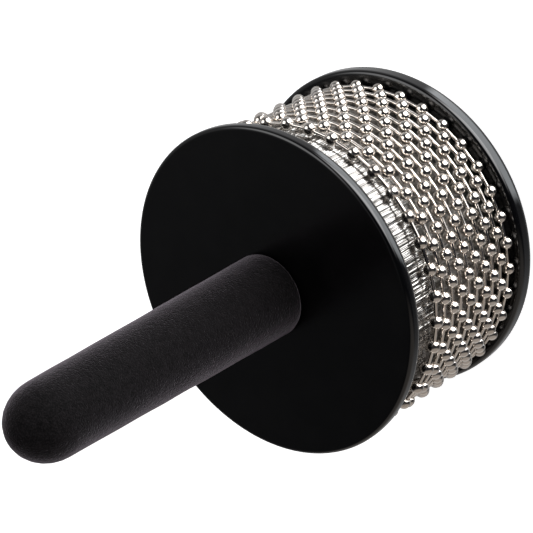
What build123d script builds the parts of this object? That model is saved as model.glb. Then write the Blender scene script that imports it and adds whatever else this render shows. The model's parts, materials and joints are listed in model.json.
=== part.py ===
from build123d import *
import math
import os

# Cabasa (afuche): a wooden drum in a textured steel sleeve between two lacquered discs, with ten loose
# loops of ball chain round the drum and a foam grip on a dowel. It stands on its rear disc.
# Millimetres. The axis is +Z, from the rear disc up through the grip, and z = 0 is the rear disc's foot.

# ---- drum and discs ---------------------------------------------------------------------------
drum_diameter = 98.4            # over the textured sleeve
drum_length = 57.1              # between the two discs
sleeve_depth = 0.7              # formed steel sheet, its ridges included
sleeve_end_gap = 0.15           # sleeve stops short of each disc
seam_gap = 0.6                  # where the sheet's two ends meet
rear_disc_thickness = 6.8
front_disc_thickness = 5.2
disc_lip = 1.65                 # disc stands this far out past a loop that lies concentric
rear_disc_foot_edge = 2.5       # edge radius on the face it stands on
rear_disc_inner_edge = 1.5
front_disc_edge = 1.2
front_disc_inner_edge = 2.4     # on the face against the drum

# ---- ball chain -------------------------------------------------------------------------------
loop_count = 10
ball_diameter = 4.5
ball_wall = 0.4
ball_pitch = 9.0                # nominal, along the chain; the count of balls is rounded from it
link_diameter = 1.1
link_hole_play = 0.25           # ball hole over the link, on the radius
link_head_catch = 0.13          # link head over the ball hole, on the radius
link_head_thickness = 0.5
link_play = 0.03                # link head to the inside of the ball
loop_slack = 1.65               # balls to sleeve, on the radius
loop_sag = 0.95                 # the loose loops hang this far towards -X, all together
loop_clearance = 0.08           # between loops, and from the rear disc to the first one
stagger = 0.55                  # each loop's turn past the loop below it, in ball pitches
first_loop_turn = 0.35          # in ball pitches, from the front direction
top_loop_lag = 0.28             # the top loop hangs back by this much, in ball pitches
front_angle = -45.0             # degrees from +X

# ---- grip -------------------------------------------------------------------------------------
dowel_diameter = 19.0
dowel_socket_depth = 25.0       # into the drum
dowel_end_edge = 3.0
grip_length = 115.6             # in front of the front disc
foam_wall_base = 4.75           # at the front disc
foam_wall_tip = 3.17            # where the dome starts
grip_dome_stretch = 1.73        # dome's length over its radius
grip_cap_inset = 1.27           # round cap's radius under the dome's
grip_foot_edge = 1.8
grip_end_thickness = 7.0        # foam beyond the dowel's end
snug = 0.02                     # radial room of a piece that is pressed or glued in

# ---- fasteners --------------------------------------------------------------------------------
bolt_diameter = 6.0
bolt_hole_play = 0.3
bolt_head_diameter = 10.5
bolt_head_height = 3.3
bolt_head_edge = 2.0
bolt_head_recess = 0.3          # head below the disc's foot
bolt_hex = 4.0                  # across flats
bolt_hex_depth = 2.0
bolt_engagement = 12.0
washer_diameter = 16.0
washer_thickness = 1.6
washer_play = 0.5
insert_diameter = 10.0
insert_length = 15.0
screw_count = 4
screw_circle = 70.0             # diameter
screw_diameter = 4.0
screw_length = 24.0
screw_head_diameter = 8.0
screw_head_recess = 0.2
screw_slot_width = 1.0
screw_slot_depth = 1.2
peg_count = 3
peg_circle = 60.0
peg_turn = 30.0                 # degrees on from the front direction
peg_diameter = 6.0
peg_in_disc = 3.2
peg_in_drum = 8.0
brad_rows = 4
brad_diameter = 1.4
brad_length = 9.0
brad_from_seam = 3.0
brad_end_margin = 6.0
brad_end_sink = 0.05            # end below the sleeve's surface

# ---- worked out from the above ----------------------------------------------------------------
sleeve_radius = drum_diameter / 2
core_radius = sleeve_radius - sleeve_depth
ball_radius = ball_diameter / 2
ball_cavity = ball_radius - ball_wall
loop_radius = sleeve_radius + loop_slack + ball_radius
disc_radius = loop_radius + ball_radius + disc_lip
balls_per_loop = round(2 * math.pi * loop_radius / ball_pitch)
half_pitch = math.pi / balls_per_loop
pitch_degrees = 360 / balls_per_loop
loop_spacing = ball_diameter + loop_clearance

drum_bottom = rear_disc_thickness
drum_top = drum_bottom + drum_length
face_z = drum_top + front_disc_thickness
tip_z = face_z + grip_length
dowel_radius = dowel_diameter / 2
dowel_bottom = drum_top - dowel_socket_depth
dowel_top = tip_z - grip_end_thickness
bolt_radius = bolt_diameter / 2
head_seat = bolt_head_recess + bolt_head_height
counterbore_depth = head_seat + washer_thickness
link_radius = link_diameter / 2
hole_radius = link_radius + link_hole_play
head_radius = hole_radius + link_head_catch
seam_angle = front_angle + 180


def turned(outline):
    """A solid turned about Z from a flat outline whose X is the radius and whose Y is the height."""
    return revolve(Plane.XZ * outline, Axis.Z)


def round_bar(radius, bottom, top):
    """An upright round bar on the Z axis."""
    return Pos(0, 0, bottom) * Cylinder(radius, top - bottom, align=(Align.CENTER, Align.CENTER, Align.MIN))


def around(count, circle, start=0.0):
    """Places evenly spaced on a circle, each turned to face outwards."""
    step = 360 / count
    return [Rot(0, 0, start + i * step) * Pos(circle / 2, 0, 0) for i in range(count)]


def lacquered_disc(bottom, thickness, lower_edge, upper_edge):
    """A flat disc on the Z axis with rounded rims."""
    disc = round_bar(disc_radius, bottom, bottom + thickness)
    disc = fillet(disc.edges().sort_by(Axis.Z)[0], lower_edge)
    return fillet(disc.edges().sort_by(Axis.Z)[-1], upper_edge)


def screw_places():
    return around(screw_count, screw_circle, front_angle)


def peg_places():
    return around(peg_count, peg_circle, front_angle + peg_turn)


def screw_head_cone(oversize=0.0):
    """Countersunk head, from its flat face at the recess down to the shank."""
    wide = screw_head_diameter / 2 + oversize
    narrow = screw_diameter / 2 + oversize
    depth = wide - narrow
    cone = Cone(wide, narrow, depth, align=(Align.CENTER, Align.CENTER, Align.MIN))
    return Pos(0, 0, screw_head_recess) * cone


def rear_disc():
    disc = lacquered_disc(0, rear_disc_thickness, rear_disc_foot_edge, rear_disc_inner_edge)
    disc -= round_bar(washer_diameter / 2 + washer_play, 0, counterbore_depth)
    disc -= round_bar(bolt_radius + bolt_hole_play, 0, rear_disc_thickness)
    for place in screw_places():
        disc -= place * round_bar(screw_diameter / 2 + snug, 0, rear_disc_thickness)
        disc -= place * round_bar(screw_head_diameter / 2 + snug, 0, screw_head_recess)
        disc -= place * screw_head_cone(snug)
    return disc


def front_disc():
    disc = lacquered_disc(drum_top, front_disc_thickness, front_disc_inner_edge, front_disc_edge)
    disc -= round_bar(dowel_radius + snug, drum_top, face_z)
    for place in peg_places():
        disc -= place * round_bar(peg_diameter / 2 + snug, drum_top, drum_top + peg_in_disc)
    return disc


def brad_places():
    """Outward-facing places of the brads, in two rows beside the seam."""
    sideways = math.degrees(brad_from_seam / sleeve_radius)
    first = drum_bottom + brad_end_margin
    step = (drum_length - 2 * brad_end_margin) / (brad_rows - 1)
    return [
        Pos(0, 0, first + row * step) * Rot(0, 0, seam_angle + side * sideways)
        for side in (-1, 1)
        for row in range(brad_rows)
    ]


def brad_bar(radius):
    """A bar lying along +X whose outer end is just below the sleeve's surface."""
    bar = Cylinder(radius, brad_length, align=(Align.CENTER, Align.CENTER, Align.MAX))
    return Pos(sleeve_radius - brad_end_sink, 0, 0) * Rot(0, 90, 0) * bar


def drum_core():
    core = round_bar(core_radius, drum_bottom, drum_top)
    core -= round_bar(bolt_radius + bolt_hole_play, drum_bottom, dowel_bottom)
    core -= round_bar(dowel_radius + snug, dowel_bottom, drum_top)
    screw_tip = screw_head_recess + screw_length
    for place in screw_places():
        core -= place * round_bar(screw_diameter / 2 + snug, drum_bottom, screw_tip + snug)
    for place in peg_places():
        core -= place * round_bar(peg_diameter / 2 + snug, drum_top - peg_in_drum, drum_top)
    for place in brad_places():
        core -= place * brad_bar(brad_diameter / 2 + snug)
    return core


def steel_sleeve():
    low, high = drum_bottom + sleeve_end_gap, drum_top - sleeve_end_gap
    sleeve = round_bar(sleeve_radius, low, high) - round_bar(core_radius + snug, low, high)
    slit = Box(2 * sleeve_depth, seam_gap, drum_length)
    seam = Rot(0, 0, seam_angle) * Pos(sleeve_radius - sleeve_depth / 2, 0, (low + high) / 2) * slit
    sleeve -= seam
    for place in brad_places():
        sleeve -= place * brad_bar(brad_diameter / 2 + snug)
    return sleeve


def sleeve_brads():
    return [place * brad_bar(brad_diameter / 2) for place in brad_places()]


def handle_dowel():
    dowel = round_bar(dowel_radius, dowel_bottom, dowel_top)
    dowel = fillet(dowel.edges().sort_by(Axis.Z)[-1], dowel_end_edge)
    return dowel - round_bar(insert_diameter / 2 + snug, dowel_bottom, dowel_bottom + insert_length + snug)


def foam_grip():
    """A tapered sleeve with a rounded foot and a closed, domed end, hollow for the dowel."""
    base = dowel_radius + foam_wall_base
    dome_radius = dowel_radius + foam_wall_tip
    dome_start = tip_z - dome_radius - grip_dome_stretch
    cap_radius = dome_radius - grip_cap_inset
    along = grip_cap_inset + grip_dome_stretch
    shift = (grip_cap_inset**2 + along**2) / (2 * grip_cap_inset)
    flank_radius = cap_radius + shift
    turn = math.degrees(math.atan2(along, shift - grip_cap_inset))
    side = Line((base, face_z), (dome_radius, dome_start))
    flank = CenterArc((dome_radius - flank_radius, dome_start), flank_radius, 0, turn)
    cap = CenterArc((0, tip_z - cap_radius), cap_radius, turn, 90 - turn)
    middle = Line((0, tip_z), (0, face_z))
    outline = make_face([side, flank, cap, middle, Line((0, face_z), (base, face_z))])
    foot = outline.vertices().group_by(Axis.Y)[0].sort_by(Axis.X)[-1]
    outline = fillet(foot, grip_foot_edge)
    bore_radius, bore_top = dowel_radius + snug, dowel_top + snug
    corners = (0, face_z), (bore_radius, face_z), (bore_radius, bore_top), (0, bore_top)
    bore = make_face(Polyline(*corners, close=True))
    shoulder = bore.vertices().group_by(Axis.Y)[-1].sort_by(Axis.X)[-1]
    return turned(outline - fillet(shoulder, dowel_end_edge))


def through_bolt():
    """Button-head bolt up through the rear disc and the drum into the dowel's insert."""
    head = round_bar(bolt_head_diameter / 2, bolt_head_recess, head_seat)
    head = fillet(head.edges().sort_by(Axis.Z)[0], bolt_head_edge)
    socket = extrude(RegularPolygon(bolt_hex / 2, 6, major_radius=False), bolt_hex_depth)
    head -= Pos(0, 0, bolt_head_recess) * socket
    return head + round_bar(bolt_radius, head_seat, dowel_bottom + bolt_engagement)


def bolt_washer():
    ring = round_bar(washer_diameter / 2, head_seat, counterbore_depth)
    return ring - round_bar(bolt_radius + snug, head_seat, counterbore_depth)


def threaded_insert():
    top = dowel_bottom + insert_length
    insert = round_bar(insert_diameter / 2, dowel_bottom, top)
    return insert - round_bar(bolt_radius + snug, dowel_bottom, top)


def rear_disc_screws():
    shank = round_bar(screw_diameter / 2, screw_head_recess, screw_head_recess + screw_length)
    slot = Box(screw_head_diameter, screw_slot_width, 2 * screw_slot_depth)
    screw = shank + screw_head_cone() - Pos(0, 0, screw_head_recess) * slot
    return [place * screw for place in screw_places()]


def disc_pegs():
    peg = round_bar(peg_diameter / 2, drum_top - peg_in_drum + snug, drum_top + peg_in_disc - snug)
    return [place * peg for place in peg_places()]


def hollow_ball():
    """One pressed ball: a thin shell with a hole each side, drilled along Y."""
    hole = Rot(90, 0, 0) * Cylinder(hole_radius, 2 * ball_diameter)
    return Sphere(ball_radius) - Sphere(ball_cavity) - hole


def link_pin():
    """A short pin along Y between two balls, with a flat head inside each."""
    span = 2 * loop_radius * math.sin(half_pitch)
    sway = ball_cavity * math.sin(half_pitch)
    seat = math.sqrt(ball_cavity**2 - (head_radius + link_play + sway) ** 2)
    half = span / 2 - seat
    pin = Cylinder(link_radius, 2 * half)
    for side in (-1, 1):
        head = Cylinder(head_radius, link_head_thickness)
        pin += Pos(0, 0, side * (half + link_head_thickness / 2)) * head
    return Rot(90, 0, 0) * pin


def loop_height(index):
    return drum_bottom + loop_clearance + ball_radius + index * loop_spacing


def loop_turn(index):
    """The loop's resting angle: each lies a little over half a pitch on from the one below."""
    turn = first_loop_turn + stagger * index
    if index == loop_count - 1:
        turn -= top_loop_lag
    return front_angle + turn * pitch_degrees


def ring_of(piece, radius, index, offset):
    """Copies of a piece round one loop, the first turned on by an offset in degrees."""
    start = loop_turn(index) + offset
    height = loop_height(index)
    return [
        Pos(-loop_sag, 0, height) * Rot(0, 0, start + i * pitch_degrees) * Pos(radius, 0, 0) * piece
        for i in range(balls_per_loop)
    ]


def write(name, pieces):
    """Writes one node, which is one solid or a group of separate ones."""
    if not isinstance(pieces, list):
        pieces = [pieces]
    solids = [solid for piece in pieces for solid in piece.solids()]
    export_step(solids[0] if len(solids) == 1 else Compound(children=solids), f"parts/{name}.step")


os.makedirs("parts", exist_ok=True)

for build in (
    rear_disc, front_disc, drum_core, steel_sleeve, sleeve_brads, handle_dowel, foam_grip,
    through_bolt, bolt_washer, threaded_insert, rear_disc_screws, disc_pegs,
):
    write(build.__name__, build())

ball, pin = hollow_ball(), link_pin()
for index in range(loop_count):
    name = f"chain_{index + 1:02d}"
    write(f"{name}_balls", ring_of(ball, loop_radius, index, 0))
    write(f"{name}_links", ring_of(pin, loop_radius * math.cos(half_pitch), index, pitch_degrees / 2))
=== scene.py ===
"""A cabasa: a ridged steel drum between two lacquered discs, ten ball chain loops and a foam grip."""

import json
import logging
import math
import random
from dataclasses import dataclass, field
from enum import Enum
from typing import Iterable, Sequence

import bmesh
import bpy
from mathutils import Matrix, Quaternion, Vector


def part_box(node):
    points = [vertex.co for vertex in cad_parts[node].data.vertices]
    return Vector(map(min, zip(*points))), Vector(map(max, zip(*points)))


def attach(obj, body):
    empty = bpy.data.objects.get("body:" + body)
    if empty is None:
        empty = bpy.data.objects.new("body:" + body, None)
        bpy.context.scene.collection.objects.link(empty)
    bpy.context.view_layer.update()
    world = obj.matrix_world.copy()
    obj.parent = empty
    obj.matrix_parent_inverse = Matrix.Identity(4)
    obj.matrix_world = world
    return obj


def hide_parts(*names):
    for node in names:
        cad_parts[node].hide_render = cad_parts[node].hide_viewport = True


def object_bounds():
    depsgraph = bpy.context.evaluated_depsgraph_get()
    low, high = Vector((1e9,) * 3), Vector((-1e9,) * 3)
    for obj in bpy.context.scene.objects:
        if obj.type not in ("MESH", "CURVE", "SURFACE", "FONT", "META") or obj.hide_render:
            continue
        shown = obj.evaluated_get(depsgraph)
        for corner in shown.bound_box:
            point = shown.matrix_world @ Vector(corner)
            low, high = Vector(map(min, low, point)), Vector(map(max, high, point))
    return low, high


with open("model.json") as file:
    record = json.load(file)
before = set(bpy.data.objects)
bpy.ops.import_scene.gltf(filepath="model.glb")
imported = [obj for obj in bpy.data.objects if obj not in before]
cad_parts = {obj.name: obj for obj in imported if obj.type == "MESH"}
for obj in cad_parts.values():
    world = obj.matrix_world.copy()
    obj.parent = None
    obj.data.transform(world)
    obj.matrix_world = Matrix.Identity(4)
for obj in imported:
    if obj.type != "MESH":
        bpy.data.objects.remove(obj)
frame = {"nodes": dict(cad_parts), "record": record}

CAD_LOW, CAD_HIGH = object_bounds()
MM = 0.001
LOG = logging.getLogger("cabasa")

Colour = tuple[float, float, float, float]
Outline = Sequence[tuple[float, float]]


# ---- shader nodes ------------------------------------------------------------------------------


class Number:
    """A shader value that Python arithmetic can be written on."""

    def __init__(self, nodes: "Nodes", socket: bpy.types.NodeSocket) -> None:
        """Wrap one output socket of a node tree."""
        self.nodes = nodes
        self.socket = socket

    def _maths(self, operation: str, first: object, second: object = 0.0) -> "Number":
        """Add one Math node.

        Args:
            operation: The Math node's operation.
            first: A Number or a plain value.
            second: A Number or a plain value.

        Returns:
            The node's result.
        """
        made = self.nodes.node("ShaderNodeMath", {"operation": operation}, {0: first, 1: second})
        return Number(self.nodes, made.outputs[0])

    def __add__(self, other: object) -> "Number":
        """Sum of this and another value."""
        return self._maths("ADD", self, other)

    __radd__ = __add__

    def __sub__(self, other: object) -> "Number":
        """This less another value."""
        return self._maths("SUBTRACT", self, other)

    def __rsub__(self, other: object) -> "Number":
        """Another value less this."""
        return self._maths("SUBTRACT", other, self)

    def __mul__(self, other: object) -> "Number":
        """Product of this and another value."""
        return self._maths("MULTIPLY", self, other)

    def __abs__(self) -> "Number":
        """Size of this value without its sign."""
        return self._maths("ABSOLUTE", self)

    def between(self, low: float, high: float) -> "Number":
        """Rise smoothly from 0 to 1.

        Args:
            low: Where the rise starts.
            high: Where it ends.

        Returns:
            The eased share.
        """
        settings = {"interpolation_type": "SMOOTHSTEP"}
        inputs = {"Value": self, "From Min": low, "From Max": high}
        made = self.nodes.node("ShaderNodeMapRange", settings, inputs)
        return Number(self.nodes, made.outputs[0])


class Nodes:
    """A node tree that is built from empty."""

    def __init__(self, owner: bpy.types.ID) -> None:
        """Clear the tree of a new material or world.

        Args:
            owner: The material or world.
        """
        owner.use_nodes = True
        self.tree = owner.node_tree
        self.tree.nodes.clear()

    def node(
        self, kind: str, settings: dict | None = None, inputs: dict | None = None
    ) -> bpy.types.Node:
        """Add one node.

        Args:
            kind: The node's type name.
            settings: Properties, set before the sockets.
            inputs: Socket names or numbers with the values or links that they take.

        Returns:
            The node.
        """
        made = self.tree.nodes.new(kind)
        for key, value in (settings or {}).items():
            setattr(made, key, value)
        for key, value in (inputs or {}).items():
            self.feed(made.inputs[key], value)
        return made

    def feed(self, socket: bpy.types.NodeSocket, value: object) -> None:
        """Give a socket its value or link.

        Args:
            socket: The input.
            value: A Number, an output socket or a plain value.
        """
        if isinstance(value, Number):
            value = value.socket
        if isinstance(value, bpy.types.NodeSocket):
            self.tree.links.new(value, socket)
        else:
            socket.default_value = value

    def blend(self, share: object, low: object, high: object) -> bpy.types.NodeSocket:
        """A colour between two others."""
        inputs = {0: share, 6: low, 7: high}
        return self.node("ShaderNodeMix", {"data_type": "RGBA"}, inputs).outputs[2]


class Paint(Nodes):
    """One material's nodes, round the Principled shader that a finish sets."""

    def __init__(self, name: str) -> None:
        """Start an empty material.

        Args:
            name: The material's name.
        """
        self.material = bpy.data.materials.new(name)
        super().__init__(self.material)
        self.surface = self.node("ShaderNodeBsdfPrincipled")
        self.node("ShaderNodeOutputMaterial", inputs={"Surface": self.surface.outputs[0]})

    def place(self, stretch: tuple[float, float, float] = (1, 1, 1)) -> bpy.types.NodeSocket:
        """Object coordinates in metres, stretched along each axis."""
        spot = self.node("ShaderNodeTexCoord").outputs["Object"]
        return self.node("ShaderNodeMapping", inputs={"Vector": spot, "Scale": stretch}).outputs[0]

    def height(self) -> Number:
        """Height above the object's foot, in metres."""
        return Number(self, self.node("ShaderNodeSeparateXYZ", inputs={0: self.place()}).outputs[2])

    def noise(
        self, grain: float, detail: float = 2.0, stretch: tuple[float, float, float] = (1, 1, 1)
    ) -> Number:
        """Soft random mottling.

        Args:
            grain: Size of a mottle in metres.
            detail: Octaves of finer mottling.
            stretch: Scale of the coordinates along each axis.

        Returns:
            A value that is mostly between 0.3 and 0.7.
        """
        inputs = {"Vector": self.place(stretch), "Scale": 1 / grain, "Detail": detail}
        return Number(self, self.node("ShaderNodeTexNoise", inputs=inputs).outputs["Fac"])

    def specks(self, spacing: float, size: float) -> Number:
        """Small round specks.

        Args:
            spacing: Distance between specks in metres.
            size: Share of the spacing that a speck takes up.

        Returns:
            1 in a speck's middle and 0 outside it.
        """
        inputs = {"Vector": self.place(), "Scale": 1 / spacing}
        cells = self.node("ShaderNodeTexVoronoi", inputs=inputs)
        return 1 - Number(self, cells.outputs["Distance"]).between(0.0, size)

    def bump(self, height: Number, depth: float) -> None:
        """Raise the surface by a height pattern.

        Args:
            height: The pattern.
            depth: How far a height of 1 stands out, in metres.
        """
        inputs = {"Strength": 1.0, "Distance": depth, "Height": height}
        self.feed(self.surface.inputs["Normal"], self.node("ShaderNodeBump", inputs=inputs).outputs[0])

    def set(self, **sockets: object) -> None:
        """Set the shader's sockets.

        Args:
            sockets: Values or links by socket name, in lower case with underscores.
        """
        for name, value in sockets.items():
            label = name.replace("_", " ").title().replace("Ior", "IOR")
            self.feed(self.surface.inputs[label], value)


def shade(red: float, green: float, blue: float) -> Colour:
    """An opaque colour."""
    return red, green, blue, 1.0


# ---- finishes ----------------------------------------------------------------------------------


@dataclass(frozen=True)
class Finish:
    """A surface that pieces are dressed in."""

    name: str

    def dress(self, paint: Paint) -> None:
        """Set the shader of a new material."""
        raise NotImplementedError

    def material(self) -> bpy.types.Material:
        """Find the finish's material, or make it when it is first asked for.

        Returns:
            The material, which every piece in this finish shares.
        """
        found = bpy.data.materials.get(self.name)
        if found is None:
            paint = Paint(self.name)
            self.dress(paint)
            found = paint.material
        return found


@dataclass(frozen=True)
class BlackLacquer(Finish):
    """Sprayed black lacquer with a little orange peel and settled dust."""

    roughness: float = 0.08
    gloss: float = 0.5
    coat: float = 0.45
    peel_depth: float = 0.012 * MM
    cloud_size: float = 9 * MM
    fine_peel: float = 1.6 * MM
    broad_peel: float = 5 * MM
    dust_spacing: float = 1.9 * MM
    dust_share: float = 0.06
    deep: Colour = shade(0.0006, 0.0006, 0.0008)
    thin: Colour = shade(0.0012, 0.0012, 0.0014)
    dusty: Colour = shade(0.012, 0.012, 0.013)

    def dress(self, paint: Paint) -> None:
        """Set the shader of a new material.

        Args:
            paint: The material's nodes.
        """
        cloud = paint.noise(self.cloud_size, 3.0)
        dust = paint.specks(self.dust_spacing, self.dust_share)
        base = paint.blend(cloud.between(0.35, 0.7), self.deep, self.thin)
        peel = paint.noise(self.fine_peel, 1.0) * 0.6 + paint.noise(self.broad_peel, 1.0)
        paint.set(
            base_color=paint.blend(dust * 0.3, base, self.dusty),
            roughness=self.roughness + (cloud - 0.5) * 0.05,
            specular_ior_level=self.gloss,
            coat_weight=self.coat,
            coat_roughness=self.roughness,
        )
        paint.bump(peel + dust * 0.5, self.peel_depth)


@dataclass(frozen=True)
class RidgedSteel(Finish):
    """Rolled stainless sheet in pressed streaks. Its colour is lighter on the streaks' raised parts and
    darker in their low parts, partly its own streaky tone and partly painted highlight and shade. Painted
    shade darkens it under the loops, where the finish is also rougher.
    """

    # painted shade: below this height, where the loops lie over the sheet, the colour darkens towards the
    # dull colour and the finish is rougher
    shade_below: float = 44.0 * MM
    shade_fade: float = 2.0 * MM
    drawn_line: float = 0.2 * MM
    smudge_size: float = 6 * MM
    streak_width: float = 1.3 * MM
    streak_depth: float = 0.22 * MM
    # streak colours: darker in the pressed streaks' low parts and lighter on their raised parts, partly
    # the sheet's own tone and partly painted shade and highlight
    low_tone_and_shade: Colour = shade(0.20, 0.19, 0.18)
    bright: Colour = shade(0.60, 0.59, 0.575)
    # dull is the painted shade colour under the loops
    dull: Colour = shade(0.10, 0.09, 0.08)

    def dress(self, paint: Paint) -> None:
        """Set the shader of a new material.

        Args:
            paint: The material's nodes.
        """
        drawn = paint.noise(self.drawn_line, 2.0, (1, 1, 0.02))
        smudge = paint.noise(self.smudge_size, 3.0)
        pressed = paint.noise(self.streak_width, 1.0, (1, 1, 0.16))
        # mask for the painted shade under the loops; it also raises the roughness there
        loop_shade_and_rub = 1 - paint.height().between(self.shade_below, self.shade_below + self.shade_fade)
        # colour follows the pressed relief: painted shade in its low parts and painted highlight on its
        # raised parts, mixed with the sheet's own streaky tone and smudges
        streaks_and_shade = paint.blend(pressed.between(0.4, 0.6) * 0.7 + smudge * 0.3, self.low_tone_and_shade, self.bright)
        paint.set(
            # painted shade under the loops: the base colour is blended towards the dull colour there
            base_color=paint.blend(loop_shade_and_rub * (0.45 + smudge * 0.4), streaks_and_shade, self.dull),
            metallic=1.0,
            roughness=0.09 + drawn * 0.12 + smudge * 0.06 + loop_shade_and_rub * 0.12,
        )
        paint.bump(drawn * 0.06 + pressed, self.streak_depth)


@dataclass(frozen=True)
class NickelPlate(Finish):
    """Bright nickel plate, a little warm, with its own tone and wear on every ball or pin."""

    seamed: bool = False
    seam_half_width: float = 0.012
    smudge_size: float = 1.1 * MM
    dent_size: float = 0.5 * MM
    dent_depth: float = 0.012 * MM
    worn: Colour = shade(0.70, 0.64, 0.585)
    fresh: Colour = shade(0.82, 0.775, 0.73)

    def dress(self, paint: Paint) -> None:
        """Set the shader of a new material.

        Args:
            paint: The material's nodes.
        """
        attribute = paint.node("ShaderNodeAttribute", {"attribute_name": "tone"})
        tone = Number(paint, attribute.outputs["Fac"])
        smudge = paint.noise(self.smudge_size, 3.0)
        dents = paint.noise(self.dent_size, 2.0)
        rough = 0.05 + tone * 0.05 + smudge.between(0.45, 0.75) * 0.09
        height = dents * 0.6
        if self.seamed:
            uv = paint.node("ShaderNodeUVMap").outputs[0]
            around = Number(paint, paint.node("ShaderNodeSeparateXYZ", inputs={0: uv}).outputs[0])
            seam = 1 - abs(around - 0.5).between(0.0, self.seam_half_width)
            rough = rough + seam * 0.25
            height = height - seam * 1.5
        paint.set(
            base_color=paint.blend(tone * 0.8 + smudge * 0.2, self.worn, self.fresh),
            metallic=1.0,
            roughness=rough,
        )
        paint.bump(height, self.dent_depth)


@dataclass(frozen=True)
class FoamSkin(Finish):
    """Closed-cell foam rubber with a fine open grain and a faint bloom."""

    grain_size: float = 0.5 * MM
    pore_spacing: float = 1.1 * MM
    pore_share: float = 0.5
    mottle_size: float = 2.2 * MM
    relief: float = 0.24 * MM
    # the grain's low parts take this near-black colour: partly the foam's own mottled tone, partly
    # painted shade in its hollows
    hollow_tone_and_shade: Colour = shade(0.0001, 0.0001, 0.0001)
    raised: Colour = shade(0.0072, 0.0062, 0.0068)
    bloom: Colour = shade(0.86, 0.76, 0.86)

    def dress(self, paint: Paint) -> None:
        """Set the shader of a new material.

        Args:
            paint: The material's nodes.
        """
        grain = paint.noise(self.grain_size, 3.0, (1, 1, 1.3))
        pores = paint.specks(self.pore_spacing, self.pore_share)
        mottle = paint.noise(self.mottle_size, 3.0, (1, 1, 1.2))
        # the colour follows the same grain and mottle as the bump, so the hollows are darker: painted
        # shade along with the foam's own mottling
        share = grain.between(0.47, 0.59) * 0.75 + mottle.between(0.4, 0.6) * 0.25
        paint.set(
            base_color=paint.blend(share, self.hollow_tone_and_shade, self.raised),
            roughness=0.76 + grain * 0.16,
            specular_ior_level=0.08,
            sheen_weight=0.40,
            sheen_roughness=0.32,
            sheen_tint=self.bloom,
        )
        paint.bump(grain - pores * 0.3 + mottle * 0.4, self.relief)


@dataclass(frozen=True)
class TurnedBeech(Finish):
    """Bare turned beech with long grain and short dark flecks."""

    grain_width: float = 1.2 * MM
    grain_depth: float = 0.06 * MM
    ring_width: float = 7 * MM
    fleck_spacing: float = 1.6 * MM
    fleck_share: float = 0.22
    late_wood: Colour = shade(0.40, 0.24, 0.12)
    early_wood: Colour = shade(0.66, 0.47, 0.29)
    fleck: Colour = shade(0.24, 0.13, 0.06)

    def dress(self, paint: Paint) -> None:
        """Set the shader of a new material.

        Args:
            paint: The material's nodes.
        """
        grain = paint.noise(self.grain_width, 4.0, (1, 1, 0.06))
        rings = paint.noise(self.ring_width, 2.0, (1, 1, 0.1))
        flecks = paint.specks(self.fleck_spacing, self.fleck_share)
        share = grain * 0.55 + rings * 0.45
        base = paint.blend(share.between(0.35, 0.65), self.late_wood, self.early_wood)
        paint.set(base_color=paint.blend(flecks * 0.35, base, self.fleck), roughness=0.58 + grain * 0.14)
        paint.bump(grain, self.grain_depth)


@dataclass(frozen=True)
class MachinedMetal(Finish):
    """Plated or bare metal hardware with fine tool marks and rubbed edges."""

    dull: Colour = shade(0.42, 0.42, 0.43)
    bright: Colour = shade(0.66, 0.66, 0.67)
    mark_width: float = 0.2 * MM
    mark_depth: float = 0.02 * MM
    cloud_size: float = 2.5 * MM

    def dress(self, paint: Paint) -> None:
        """Set the shader of a new material.

        Args:
            paint: The material's nodes.
        """
        marks = paint.noise(self.mark_width, 2.0, (1, 1, 4))
        cloud = paint.noise(self.cloud_size, 3.0)
        paint.set(
            base_color=paint.blend(cloud.between(0.3, 0.7), self.dull, self.bright),
            metallic=1.0,
            roughness=0.24 + marks * 0.16 + cloud * 0.08,
        )
        paint.bump(marks, self.mark_depth)


@dataclass(frozen=True)
class PaleSweep(Finish):
    """The pale floor: matt white, with a faint glow of its own so that it stays white."""

    glow: float = 0.95
    cloud_size: float = 0.4

    def dress(self, paint: Paint) -> None:
        """Set the shader of a new material.

        Args:
            paint: The material's nodes.
        """
        cloud = paint.noise(self.cloud_size, 2.0)
        paint.set(
            base_color=paint.blend(cloud, shade(0.80, 0.80, 0.80), shade(0.84, 0.84, 0.84)),
            roughness=0.9,
            emission_color=shade(1, 1, 1),
            emission_strength=self.glow,
        )


GLOSS_LACQUER = BlackLacquer("gloss lacquer")
SATIN_LACQUER = BlackLacquer(
    "satin lacquer", roughness=0.24, gloss=0.37, coat=0.0, peel_depth=0.02 * MM,
)
STEEL = RidgedSteel("ridged steel")
NICKEL_BALL = NickelPlate("nickel ball", seamed=True)
NICKEL_PIN = NickelPlate("nickel pin")
FOAM = FoamSkin("foam skin")
BEECH = TurnedBeech("turned beech")
ZINC = MachinedMetal("zinc steel")
BRASS = MachinedMetal(
    "machined brass", dull=shade(0.50, 0.34, 0.12), bright=shade(0.78, 0.60, 0.28),
)
SWEEP = PaleSweep("pale sweep")


class Slot(Enum):
    """The record's material slot names; the ball chain lists two of them, but no piece is given one."""

    LACQUER = "black_lacquer"
    STEEL = "textured_steel"
    BALLS = "nickel_balls"
    LINKS = "nickel_links"
    FOAM = "foam_rubber"


# ---- mesh helpers ------------------------------------------------------------------------------


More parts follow.
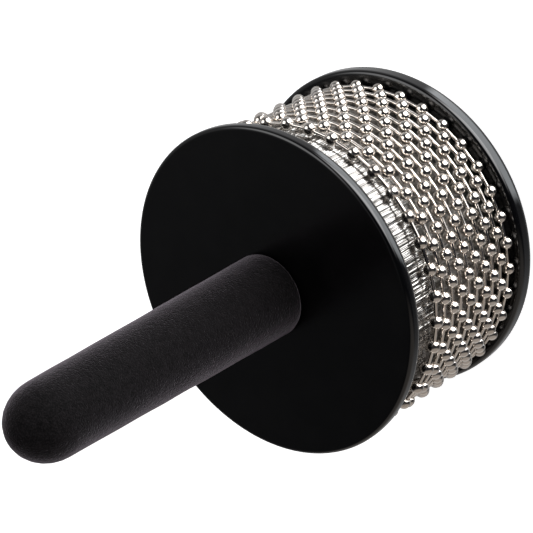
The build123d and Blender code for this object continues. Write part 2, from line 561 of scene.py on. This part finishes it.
def lathe(outline: Outline, steps: int, closed: bool = False) -> bmesh.types.BMesh:
    """Spin an outline about Z into a shell.

    Args:
        outline: (radius, height) points in metres.
        steps: Divisions round the axis.
        closed: Whether the outline's end joins its start.

    Returns:
        The shell, its normals outward.
    """
    shell = bmesh.new()
    points = [shell.verts.new((radius, 0, height)) for radius, height in outline]
    edges = [shell.edges.new(pair) for pair in zip(points, points[1:])]
    if closed:
        edges.append(shell.edges.new((points[-1], points[0])))
    bmesh.ops.spin(
        shell, geom=points + edges, cent=(0, 0, 0), axis=(0, 0, 1), angle=math.tau, steps=steps,
        use_merge=True, use_duplicate=False,
    )
    bmesh.ops.remove_doubles(shell, verts=shell.verts, dist=0.001 * MM)
    bmesh.ops.recalc_face_normals(shell, faces=shell.faces)
    return shell


def rounded(
    corner: tuple[float, float], edge: float, start: float, segments: int
) -> list[tuple[float, float]]:
    """A quarter round for an outline's square corner.

    Args:
        corner: (radius, height) of the sharp corner in metres.
        edge: The round's radius.
        start: Angle in degrees at which the quarter starts, anticlockwise from +radius.
        segments: Divisions of the quarter.

    Returns:
        Points along the round.
    """
    middle = math.radians(start + 45)
    outward = (math.cos(middle), math.sin(middle))
    centre = [at - edge * math.copysign(1, way) for at, way in zip(corner, outward)]
    angles = [math.radians(start + 90 * i / segments) for i in range(segments + 1)]
    return [(centre[0] + edge * math.cos(a), centre[1] + edge * math.sin(a)) for a in angles]


def finished(
    name: str, mesh: bmesh.types.BMesh, finish: Finish, body: str, nodes: Iterable[str],
    sharp: float | None = None,
) -> bpy.types.Object:
    """Turn a bmesh into a piece that rides on its body and stands for CAD nodes.

    Args:
        name: The piece's name.
        mesh: Its mesh, which is freed.
        finish: What it is dressed in.
        body: The CAD body that it rides on.
        nodes: The CAD nodes that it stands for.
        sharp: Angle in degrees above which an edge stays sharp, or None for none.

    Returns:
        The piece.
    """
    data = bpy.data.meshes.new(name)
    mesh.to_mesh(data)
    mesh.free()
    data.shade_smooth()
    if sharp is not None:
        data.set_sharp_from_angle(angle=math.radians(sharp))
    data.materials.append(finish.material())
    piece = bpy.data.objects.new(name, data)
    bpy.context.scene.collection.objects.link(piece)
    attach(piece, body)
    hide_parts(*nodes)
    LOG.info("%s: %d faces, rides on %s", name, len(data.polygons), body)
    return piece


def subdivide(piece: bpy.types.Object, levels: int) -> None:
    """Finish a piece with a live Subdivision Surface."""
    smoother = piece.modifiers.new("smooth", "SUBSURF")
    smoother.levels = smoother.render_levels = levels


def pull(count: float) -> float:
    """Share that one subdivision leaves of a ring's radius, for that many points round it."""
    return (2 + math.cos(math.tau / count)) / 3


# ---- the discs ---------------------------------------------------------------------------------


@dataclass
class Disc:
    """A lacquered disc turned from one outline."""

    name: str
    node: str
    lower_edge: float
    upper_edge: float
    bore: float
    counterbore: float = 0.0
    counterbore_depth: float = 0.0
    segments: int = 8
    steps: int = 192
    support: float = 0.5 * MM
    satin_slope: float = 0.999
    sharp: float = 50.0

    def outline(self) -> Outline:
        """The disc's closed section, from the bore's foot outwards and back over the top.

        Returns:
            (radius, height) points in metres.
        """
        low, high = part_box(self.node)
        rim = max(high.x, high.y)
        inner = [(self.bore, high.z), (self.bore, low.z)]
        if self.counterbore:
            floor = low.z + self.counterbore_depth
            inner = [inner[0], (self.bore, floor), (self.counterbore, floor), (self.counterbore, low.z)]
        start = inner[-1][0]
        foot = [(start + self.support, low.z), (rim - self.lower_edge - self.support, low.z)]
        face = [(rim - self.upper_edge - self.support, high.z), (self.bore + self.support, high.z)]
        wall_foot = low.z + self.lower_edge + self.support
        wall = [(rim, wall_foot), (rim, high.z - self.upper_edge - self.support)]
        return [
            *inner, *foot, *rounded((rim, low.z), self.lower_edge, -90, self.segments), *wall,
            *rounded((rim, high.z), self.upper_edge, 0, self.segments), *face,
        ]

    def build(self) -> bpy.types.Object:
        """Make the disc, satin on its flat sides and gloss round its rim.

        Returns:
            The piece.
        """
        shell = lathe(self.outline(), self.steps, closed=True)
        for side in shell.faces:
            side.material_index = int(abs(side.normal.z) > self.satin_slope)
        piece = finished(
            self.name, shell, GLOSS_LACQUER, "drum", [self.node], sharp=self.sharp
        )
        piece.data.materials.append(SATIN_LACQUER.material())
        return piece


@dataclass
class ScrewedDisc(Disc):
    """A disc with countersunk holes for its screws."""

    screw_count: int = 4
    screw_circle: float = 70 * MM
    screw_turn: float = -45.0
    recess: float = 0.2 * MM
    head: float = 4.02 * MM
    shank: float = 2.02 * MM
    hole_steps: int = 32
    overshoot: float = 1.0 * MM

    def cutter(self) -> bpy.types.Object:
        """The screws' holes as one mesh.

        Returns:
            An object that is removed after the cut.
        """
        low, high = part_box(self.node)
        cone_end = low.z + self.recess + self.head - self.shank
        hole = [
            (0, low.z - self.overshoot), (self.head, low.z - self.overshoot),
            (self.head, low.z + self.recess), (self.shank, cone_end),
            (self.shank, high.z + self.overshoot), (0, high.z + self.overshoot),
        ]
        plugs = bmesh.new()
        for i in range(self.screw_count):
            turn = math.radians(self.screw_turn + 360 * i / self.screw_count)
            plug = lathe(hole, self.hole_steps)
            spot = Vector((math.cos(turn), math.sin(turn), 0)) * self.screw_circle / 2
            bmesh.ops.translate(plug, verts=plug.verts, vec=spot)
            part = bpy.data.meshes.new("plug")
            plug.to_mesh(part)
            plug.free()
            plugs.from_mesh(part)
            bpy.data.meshes.remove(part)
        data = bpy.data.meshes.new("screw_holes")
        plugs.to_mesh(data)
        plugs.free()
        cutter = bpy.data.objects.new("screw_holes", data)
        bpy.context.scene.collection.objects.link(cutter)
        return cutter

    def build(self) -> bpy.types.Object:
        """Make the disc and cut its screw holes.

        Returns:
            The piece.
        """
        piece = super().build()
        cutter = self.cutter()
        cut = piece.modifiers.new("screw_holes", "BOOLEAN")
        cut.operation, cut.solver, cut.object = "DIFFERENCE", "EXACT", cutter
        whole = piece.data
        solid = piece.evaluated_get(bpy.context.evaluated_depsgraph_get())
        piece.data = bpy.data.meshes.new_from_object(solid)
        piece.modifiers.clear()
        piece.data.set_sharp_from_angle(angle=math.radians(self.sharp))
        bpy.data.objects.remove(cutter)
        bpy.data.meshes.remove(whole)
        return piece


# ---- the sleeve --------------------------------------------------------------------------------


@dataclass
class Sleeve:
    """The ridged steel sheet round the drum, open at its seam."""

    node: str = "steel_sleeve"
    ridges: int = 720
    points_per_ridge: int = 3
    ridge_depth: float = 0.09 * MM
    groove_depth: float = 0.31 * MM
    block_points: tuple[int, int] = (5, 11)
    groove_points: tuple[int, int] = (3, 6)
    leans: tuple[float, ...] = (-1.0, -0.6, -0.2, 0.2, 0.6, 1.0)
    rows: int = 3
    row_join: float = 1.5 * MM
    crest_inset: float = 0.01 * MM
    sheet: float = 0.12 * MM
    seam_angle: float = 135.0
    seam_gap: float = 0.6 * MM
    sharp: float = 20.0
    seed: int = 11

    @property
    def points(self) -> int:
        """Divisions round the drum."""
        return self.ridges * self.points_per_ridge

    def fine(self, draw: random.Random) -> list[float]:
        """Depth of each point below the crests: a V for each fine ridge.

        Args:
            draw: Where the ridges' depths come from.

        Returns:
            A depth for every point round the drum.
        """
        depths = [draw.uniform(0.4, 1.0) * self.ridge_depth for _ in range(self.ridges)]
        each = self.points_per_ridge
        return [
            depths[point // each] * (point % each > 0) * draw.uniform(0.6, 1.0)
            for point in range(self.points)
        ]

    def blocks(self, draw: random.Random) -> list[float]:
        """Depth that one row's pressed pattern adds: leaning blocks with steep grooves between.

        Args:
            draw: Where the widths and leans come from.

        Returns:
            A depth for every point round the drum.
        """
        depths: list[float] = []
        while len(depths) < self.points:
            block, groove = draw.randint(*self.block_points), draw.randint(*self.groove_points)
            lean = draw.choice(self.leans) * draw.uniform(0.7, 1.0) * self.groove_depth
            step = -lean / block
            depths += [max(0.0, lean) + step * i for i in range(block)]
            start, bottom = depths[-1], draw.uniform(0.7, 1.0) * self.groove_depth
            half = max(1, groove // 2)
            rest = groove - half
            depths += [start + (bottom - start) * (i + 1) / half for i in range(half)]
            depths += [bottom * (1 - (i + 1) / (rest + 1)) for i in range(rest)]
        return depths[: self.points]

    def row_heights(self) -> list[tuple[int, float]]:
        """Heights of the sheet's rings of points, with a short slope where two rows meet.

        Returns:
            A (row, height) pair for each ring, from the foot up.
        """
        low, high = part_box(self.node)
        tall = (high.z - low.z) / self.rows
        heights = []
        for row in range(self.rows):
            start, end = low.z + row * tall, low.z + (row + 1) * tall
            heights.append((row, start + (self.row_join / 2 if row else 0)))
            heights.append((row, end - (self.row_join / 2 if row < self.rows - 1 else 0)))
        return heights

    def open_ring(self, crest: float) -> bmesh.types.BMesh:
        """Make the sheet's lowest ring of points, open at the seam.

        Args:
            crest: Radius of the crests.

        Returns:
            The ring.
        """
        sheet = bmesh.new()
        ring = bmesh.ops.create_circle(sheet, segments=self.points, radius=crest)["verts"]
        turn = math.radians(self.seam_angle)
        seam = Vector((math.cos(turn), math.sin(turn), 0)) * crest
        near = [vert for vert in ring if (vert.co - seam).length < self.seam_gap / 2]
        bmesh.ops.delete(sheet, geom=near, context="VERTS")
        return sheet

    def press(
        self, verts: Iterable[bmesh.types.BMVert], crest: float, height: float, depths: list[float]
    ) -> None:
        """Set one ring's points at their height and depth.

        Args:
            verts: The ring's points.
            crest: Radius of the crests.
            height: The ring's height.
            depths: Depth below the crests for every point round the drum.
        """
        for vert in verts:
            turn = math.atan2(vert.co.y, vert.co.x) % math.tau
            radius = crest - depths[round(turn / math.tau * self.points) % self.points]
            vert.co = Vector((radius * math.cos(turn), radius * math.sin(turn), height))

    def build(self) -> bpy.types.Object:
        """Make the sleeve.

        Returns:
            The piece.
        """
        _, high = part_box(self.node)
        crest = max(high.x, high.y) - self.crest_inset
        draw = random.Random(self.seed)
        fine = self.fine(draw)
        rows = [self.blocks(draw) for _ in range(self.rows)]
        sheet = self.open_ring(crest)
        verts, edges = list(sheet.verts), list(sheet.edges)
        for index, (row, height) in enumerate(self.row_heights()):
            if index:
                made = bmesh.ops.extrude_edge_only(sheet, edges=edges)["geom"]
                verts = [g for g in made if isinstance(g, bmesh.types.BMVert)]
                edges = [g for g in made if isinstance(g, bmesh.types.BMEdge)]
            self.press(verts, crest, height, [f + b for f, b in zip(fine, rows[row])])
        bmesh.ops.recalc_face_normals(sheet, faces=sheet.faces)
        if sum(f.normal.dot(Vector((*f.calc_center_median().xy, 0))) for f in sheet.faces) < 0:
            bmesh.ops.reverse_faces(sheet, faces=sheet.faces)
        piece = finished(
            "ridged_sleeve", sheet, STEEL, "drum", [self.node], sharp=self.sharp
        )
        wall = piece.modifiers.new("sheet", "SOLIDIFY")
        wall.thickness, wall.offset = self.sheet, -1.0
        return piece


# ---- the ball chain ----------------------------------------------------------------------------


@dataclass
class BallChain:
    """Ten loose loops of ball chain, each a ring of pressed balls on headed pins."""

    loops: int = 10
    balls: int = 37
    ball_radius: float = 2.285 * MM
    hole_radius: float = 0.78 * MM
    lip_depth: float = 0.3 * MM
    pin_radius: float = 0.65 * MM
    head_radius: float = 0.92 * MM
    head_thickness: float = 0.5 * MM
    head_step: float = 0.12 * MM
    head_room: float = 0.1 * MM
    ball_steps: int = 10
    ball_bands: int = 6
    pin_steps: int = 6
    cad_ball_radius: float = 2.25 * MM
    cad_cavity: float = 1.85 * MM
    front_angle: float = -45.0
    first_turn: float = 0.35
    stagger: float = 0.55
    top_lag: float = 0.28
    seed: int = 5
    templates: dict[str, bpy.types.Mesh] = field(default_factory=dict)

    @property
    def pitch(self) -> float:
        """Angle between balls, in degrees."""
        return 360 / self.balls

    def radius(self, node: str, centre: Vector) -> float:
        """Radius of the circle that the balls' centres lie on."""
        low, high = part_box(node)
        return max(*(high - centre).xy, *(centre - low).xy) - self.cad_ball_radius

    def ball_outline(self) -> Outline:
        """A ball's section along its pins' axis, swollen for what the subdivision takes off.

        Returns:
            (radius, height) points in metres.
        """
        hole = math.asin(self.hole_radius / self.ball_radius)
        band = (math.pi - 2 * hole) / self.ball_bands
        angles = [hole + band * i for i in range(self.ball_bands + 1)]
        arc = pull(math.tau / band)
        along = self.ball_radius / arc
        across = along / pull(self.ball_steps)
        shell = [(math.sin(a) * across, -math.cos(a) * along) for a in angles]
        return [(0, shell[0][1] + self.lip_depth), *shell, (0, shell[-1][1] - self.lip_depth)]

    def pin_outline(self, radius: float) -> Outline:
        """A pin's section: a bar with a round head inside each ball.

        Args:
            radius: Radius of the loop's circle of ball centres.

        Returns:
            (radius, height) points in metres.
        """
        half_pitch = math.pi / self.balls
        seat = math.sqrt(self.cad_cavity**2 - (self.head_radius + self.head_room) ** 2)
        half = radius * math.sin(half_pitch) - seat
        wide, head = self.pin_radius / pull(self.pin_steps), self.head_radius
        end = half + self.head_thickness
        upper = [
            (wide, half * 0.45), (wide, half), (head, half + self.head_step), (head * 0.8, end), (0, end),
        ]
        return [(r, -z) for r, z in reversed(upper)] + upper

    def template(self, name: str, outline: Outline, steps: int) -> bpy.types.Mesh:
        """One ball or pin lying along Y, with U round it and V along it.

        Args:
            name: What to call it.
            outline: Its section.
            steps: Divisions round it.

        Returns:
            The mesh, which is made once.
        """
        if name not in self.templates:
            shell = lathe(outline, steps)
            self.map_round(shell, steps)
            lay_down = Matrix.Rotation(math.pi / 2, 3, "X")
            bmesh.ops.rotate(shell, verts=shell.verts, cent=(0, 0, 0), matrix=lay_down)
            data = bpy.data.meshes.new(name)
            shell.to_mesh(data)
            shell.free()
            self.templates[name] = data
        return self.templates[name]

    @staticmethod
    def map_round(shell: bmesh.types.BMesh, steps: int) -> None:
        """Give an upright turned shell a UV map, U round it and V along it.

        Args:
            shell: The shell.
            steps: Its divisions, which tell a face that crosses the map's edge.
        """
        layer = shell.loops.layers.uv.new("round")
        tall = max(v.co.z for v in shell.verts)
        for face in shell.faces:
            middle = face.calc_center_median()
            centre = math.atan2(middle.y, middle.x)
            for corner in face.loops:
                at = corner.vert.co
                turn = math.atan2(at.y, at.x) if at.xy.length > 0.01 * MM else centre
                offset = (turn - centre + math.pi) % math.tau - math.pi
                corner[layer].uv = ((centre + offset) / math.tau + 0.5, at.z / tall / 2 + 0.5)

    def ring(
        self, template: bpy.types.Mesh, centre: Vector, radius: float, start: float,
        draw: random.Random,
    ) -> bmesh.types.BMesh:
        """Copies of a ball or pin round one loop.

        Args:
            template: The mesh to copy.
            centre: The loop's centre.
            radius: The circle's radius.
            start: Angle of the first copy in degrees.
            draw: Where random turns and tones come from.

        Returns:
            All the copies, each with its own tone.
        """
        ring = bmesh.new()
        tone = ring.verts.layers.float.new("tone")
        for i in range(self.balls):
            ring.verts.ensure_lookup_table()
            before = len(ring.verts)
            ring.from_mesh(template)
            ring.verts.ensure_lookup_table()
            new = ring.verts[before:]
            roll = Matrix.Rotation(draw.uniform(0, math.tau), 4, "Y")
            turn = Matrix.Rotation(math.radians(start + i * self.pitch), 4, "Z")
            place = Matrix.Translation(centre) @ turn @ Matrix.Translation((radius, 0, 0)) @ roll
            bmesh.ops.transform(ring, matrix=place, verts=new)
            value = draw.random()
            for vert in new:
                vert[tone] = value
        return ring

    def build(self) -> list[bpy.types.Object]:
        """Make every loop.

        Returns:
            The pieces, a ring of balls and a ring of pins for each loop.
        """
        pieces = []
        for index, hinge in enumerate(frame["record"]["behaviour"]["joints"]):
            body = hinge["child"]
            balls, links = f"{body}_balls", f"{body}_links"
            centre = Vector(hinge["pos_m"])
            radius = self.radius(balls, centre)
            turns = self.first_turn + self.stagger * index
            if index == self.loops - 1:
                turns -= self.top_lag
            start = self.front_angle + turns * self.pitch
            draw = random.Random(self.seed + index)
            ball = self.template("ball", self.ball_outline(), self.ball_steps)
            pin = self.template("pin", self.pin_outline(radius), self.pin_steps)
            sunk = radius * math.cos(math.pi / self.balls)
            between = start + self.pitch / 2
            for name, template, place, finish, slot, node, first in (
                (f"{body}_ball_ring", ball, radius, NICKEL_BALL, Slot.BALLS, balls, start),
                (f"{body}_pin_ring", pin, sunk, NICKEL_PIN, Slot.LINKS, links, between),
            ):
                ring = self.ring(template, centre, place, first, draw)
                piece = finished(name, ring, finish, body, [node])
                subdivide(piece, 1)
                pieces.append(piece)
        return pieces


# ---- the grip ----------------------------------------------------------------------------------


@dataclass
class FoamGrip:
    """The tapered foam grip, with a rolled foot on the front disc and a domed end."""

    node: str = "foam_grip"
    foot_radius: float = 14.22 * MM
    foot_edge: float = 1.8 * MM
    dome_radius: float = 12.67 * MM
    dome_length: float = 14.4 * MM
    bore_radius: float = 9.52 * MM
    bore_end: float = 7.0 * MM
    rings: int = 30
    dome_rings: int = 9
    foot_steps: int = 5
    foot_inset: float = 0.4 * MM
    steps: int = 72
    waves: int = 6
    wave_pitch: tuple[float, float] = (150.0, 420.0)
    wave_lobes: tuple[int, int] = (1, 4)
    unevenness: float = 0.09 * MM
    lowest_swell: float = 1.0 * MM
    sharp: float = 60.0
    seed: int = 3

    def outline(self) -> Outline:
        """The grip's section, from the bore's end down its wall and over the outside to the tip.

        Returns:
            (radius, height) points in metres.
        """
        low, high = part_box(self.node)
        dome_start = high.z - self.dome_length
        foot = low.z + self.foot_edge
        side = [
            (
                self.foot_radius + (self.dome_radius - self.foot_radius) * i / self.rings,
                foot + (dome_start - foot) * i / self.rings,
            )
            for i in range(1, self.rings)
        ]
        quarter = [math.pi / 2 * i / self.dome_rings for i in range(self.dome_rings + 1)]
        dome = [
            (self.dome_radius * math.cos(a), dome_start + self.dome_length * math.sin(a)) for a in quarter
        ]
        dome[-1] = (0, high.z)
        foot_round = rounded((self.foot_radius, low.z), self.foot_edge, -90, self.foot_steps)
        end = high.z - self.bore_end
        inner = [(0, end), (self.bore_radius, end), (self.bore_radius, low.z)]
        return [*inner, (foot_round[0][0] - self.foot_inset, low.z), *foot_round, *side, *dome]

    def swell(self, shell: bmesh.types.BMesh) -> None:
        """Make the outside slightly uneven, as soft foam is.

        Args:
            shell: The grip's turned shell.
        """
        draw = random.Random(self.seed)
        waves = [
            (draw.uniform(0, math.tau), draw.uniform(*self.wave_pitch), draw.randint(*self.wave_lobes))
            for _ in range(self.waves)
        ]
        low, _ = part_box(self.node)
        innermost = self.bore_radius + 0.5 * MM
        for vert in shell.verts:
            if vert.co.xy.length < innermost or vert.co.z < low.z + self.lowest_swell:
                continue
            turn = math.atan2(vert.co.y, vert.co.x)
            wave = sum(math.sin(p + vert.co.z * k + turn * n) for p, k, n in waves) / len(waves)
            outward = Vector((vert.co.x, vert.co.y, 0)).normalized()
            vert.co += outward * (wave - 0.6) * self.unevenness

    def build(self) -> bpy.types.Object:
        """Make the grip.

        Returns:
            The piece.
        """
        shell = lathe(self.outline(), self.steps)
        self.swell(shell)
        grip = finished(
            "foam_grip_sleeve", shell, FOAM, "drum", [self.node], sharp=self.sharp
        )
        return grip


# ---- what the drum holds inside ----------------------------------------------------------------


@dataclass
class InnerParts:
    """The CAD nodes that are shown as they are, with the finish each is dressed in."""

    finishes: dict[str, Finish] = field(
        default_factory=lambda: {
            "drum_core": BEECH,
            "handle_dowel": BEECH,
            "disc_pegs": BEECH,
            "sleeve_brads": ZINC,
            "through_bolt": ZINC,
            "bolt_washer": ZINC,
            "rear_disc_screws": ZINC,
            "threaded_insert": BRASS,
        }
    )

    def dress(self) -> None:
        """Give each node its material."""
        for node, finish in self.finishes.items():
            slots = frame["nodes"][node].data.materials
            slots.clear()
            slots.append(finish.material())
            LOG.info("%s: CAD node dressed in %s", node, finish.name)


# ---- the studio --------------------------------------------------------------------------------


@dataclass(frozen=True)
class Glow:
    """A soft patch of light on the studio's walls, brightest in its middle."""

    direction: tuple[float, float, float]
    core: float
    edge: float
    radiance: float
    tint: Colour = shade(1.0, 1.0, 1.0)
    lowest: float | None = None
    cut_off: float = 0.05

    def shader(self, nodes: Nodes, towards: bpy.types.NodeSocket) -> bpy.types.NodeSocket:
        """Make the patch's background shader.

        Args:
            nodes: The room's nodes.
            towards: The direction looked in.

        Returns:
            The shader's socket.
        """
        middle = tuple(Vector(self.direction).normalized())
        inputs = {0: towards, 1: middle}
        made = nodes.node("ShaderNodeVectorMath", {"operation": "DOT_PRODUCT"}, inputs)
        facing = Number(nodes, made.outputs["Value"])
        share = facing.between(math.cos(math.radians(self.edge)), math.cos(math.radians(self.core)))
        if self.lowest is not None:
            height = nodes.node("ShaderNodeSeparateXYZ", inputs={0: towards}).outputs[2]
            share = share * Number(nodes, height).between(self.lowest, self.lowest + self.cut_off)
        light = {"Color": self.tint, "Strength": share * self.radiance}
        return nodes.node("ShaderNodeBackground", inputs=light).outputs[0]


@dataclass
class Studio:
    """The pale floor, the soft lights and the camera."""

    azimuth: float = 44.02
    elevation: float = 43.96
    roll: float = -118.92
    distance: float = 0.6562
    aim: tuple[float, float, float] = (7.63 * MM, 3.84 * MM, 66.47 * MM)
    lens: float = 136.63
    sensor: float = 36.0
    floor_size: float = 30.0
    floor_gap: float = 0.05 * MM
    shade_side: Colour = shade(0.027, 0.028, 0.032)
    glows: tuple[Glow, ...] = (
        Glow((0.896, -0.407, -0.174), 14, 40, 5.6),
        Glow((0.473, -0.183, -0.863), 26, 32, 2.5, shade(0.93, 0.97, 1.0), lowest=-0.85),
        Glow((0.41, 0.48, 0.775), 8, 32, 2.0),
        Glow((0.20, 0.60, 0.77), 10, 48, 0.25),
        Glow((-0.75, -0.50, 0.20), 36, 62, 0.33, shade(1.0, 0.91, 0.82)),
        Glow((0.30, 0.55, -0.78), 30, 80, 0.24),
        Glow((-0.50, 0.518, -0.694), 40, 95, 0.24),
    )

    def camera(self) -> None:
        """Set up the camera."""
        data = bpy.data.cameras.new("camera")
        data.lens, data.sensor_width = self.lens, self.sensor
        data.clip_start, data.clip_end = 0.01, 100.0
        camera = bpy.data.objects.new("camera", data)
        bpy.context.scene.collection.objects.link(camera)
        turn, rise = math.radians(self.azimuth), math.radians(self.elevation)
        flat = math.cos(rise)
        back = Vector((math.sin(turn) * flat, -math.cos(turn) * flat, math.sin(rise)))
        camera.location = Vector(self.aim) + back * self.distance
        camera.rotation_mode = "QUATERNION"
        upright = (-back).to_track_quat("-Z", "Y")
        camera.rotation_quaternion = upright @ Quaternion((0, 0, 1), math.radians(self.roll))
        bpy.context.scene.camera = camera

    def floor(self) -> None:
        """Lay the floor just under the object's foot."""
        sheet = bmesh.new()
        bmesh.ops.create_grid(sheet, x_segments=1, y_segments=1, size=self.floor_size / 2)
        bmesh.ops.translate(sheet, verts=sheet.verts, vec=(0, 0, CAD_LOW.z - self.floor_gap))
        data = bpy.data.meshes.new("floor")
        sheet.to_mesh(data)
        sheet.free()
        data.materials.append(SWEEP.material())
        floor = bpy.data.objects.new("floor", data)
        bpy.context.scene.collection.objects.link(floor)
        floor.visible_glossy = False
        floor.visible_shadow = False

    def world(self) -> None:
        """Light the room with its glows. The camera sees plain white."""
        room = bpy.data.worlds.new("room")
        nodes = Nodes(room)
        towards = nodes.node("ShaderNodeTexCoord").outputs["Generated"]
        light = nodes.node("ShaderNodeBackground", inputs={"Color": self.shade_side}).outputs[0]
        for glow in self.glows:
            both = {0: light, 1: glow.shader(nodes, towards)}
            light = nodes.node("ShaderNodeAddShader", inputs=both).outputs[0]
        white = nodes.node("ShaderNodeBackground", inputs={"Color": shade(1, 1, 1)}).outputs[0]
        seen = nodes.node("ShaderNodeLightPath").outputs["Is Camera Ray"]
        whole = nodes.node("ShaderNodeMixShader", inputs={0: seen, 1: light, 2: white})
        nodes.node("ShaderNodeOutputWorld", inputs={"Surface": whole.outputs[0]})
        bpy.context.scene.world = room

    def build(self) -> None:
        """Set up the whole studio."""
        bpy.context.scene.view_settings.view_transform = "Standard"
        self.camera()
        self.floor()
        self.world()
        LOG.info("studio: %d glows", len(self.glows))


def main() -> None:
    """Build the cabasa and its studio."""
    logging.basicConfig(level=logging.INFO, format="%(message)s")
    Studio().build()
    Disc("front_disc_lacquered", "front_disc", 2.4 * MM, 1.2 * MM, bore=9.52 * MM).build()
    ScrewedDisc(
        "rear_disc_lacquered", "rear_disc", 2.5 * MM, 1.5 * MM, bore=3.3 * MM,
        counterbore=8.5 * MM, counterbore_depth=5.2 * MM,
    ).build()
    Sleeve().build()
    BallChain().build()
    FoamGrip().build()
    InnerParts().dress()


if __name__ == "__main__":
    main()
